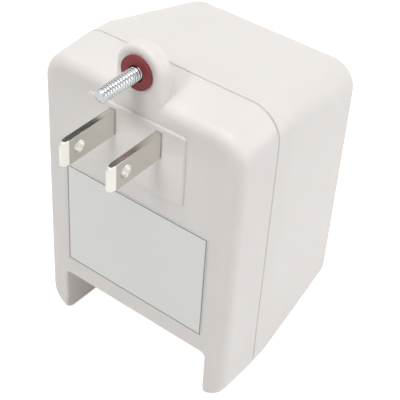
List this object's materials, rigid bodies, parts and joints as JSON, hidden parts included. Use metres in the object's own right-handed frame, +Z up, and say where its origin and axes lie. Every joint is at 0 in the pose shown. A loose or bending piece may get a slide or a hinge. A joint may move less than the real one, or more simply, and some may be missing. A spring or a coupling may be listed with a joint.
{
  "type": "plug-in transformer",
  "caption": "Plug-in wall transformer in a drafted two-part housing with flat blades, a captive mounting screw on a tab, a blank label and terminals in a notch between two legs.",
  "frame": {"origin": "midway between the two blades, on the flat face that meets the wall", "axes": "+Z up the wall, +Y away from the wall into the room, +X to the right as seen from the wall side; the blades point along -Y"},
  "size_m": [0.0554, 0.0669, 0.0904],
  "materials": {
    "cover_plastic": "ivory white moulding with a faint satin sheen",
    "nickel_plate": "warm nickel plate, slightly dulled",
    "zinc_plate": "bright bluish zinc plate",
    "red_fibre": "dull red vulcanised fibre",
    "label_foil": "pale grey film with a thin dark border",
    "core_steel": "varnished electrical steel",
    "bobbin_nylon": "natural nylon",
    "enamelled_copper": "enamelled copper wire, wound close",
    "coil_tape": "yellow polyester tape",
    "fuse_case": "dark moulded case",
    "fish_paper": "grey pressed insulating paper",
    "black_insulation": "black wire insulation",
    "red_insulation": "red wire insulation",
    "black_phenolic": "black phenolic moulding",
    "brass_plate": "stamped brass"
  },
  "bodies": {
    "root": {"rear_cover": "cover_plastic", "front_cover": "cover_plastic", "blade_left": "nickel_plate", "blade_right": "nickel_plate", "mounting_screw": "zinc_plate", "retaining_washer": "red_fibre", "rating_label": "label_foil", "e_laminations": "core_steel", "i_laminations": "core_steel", "bobbin": "bobbin_nylon", "primary_winding": "enamelled_copper", "secondary_winding": "enamelled_copper", "primary_tape": "coil_tape", "secondary_tape": "coil_tape", "thermal_fuse": "fuse_case", "insulating_sheet": "fish_paper", "primary_lead_left": "black_insulation", "primary_lead_right": "black_insulation", "secondary_lead_left": "red_insulation", "secondary_lead_right": "red_insulation", "terminal_block": "black_phenolic", "terminal_plate_left": "brass_plate", "terminal_plate_right": "brass_plate", "clamp_washers": "nickel_plate", "terminal_screws": "nickel_plate"}
  },
  "joints": []
}
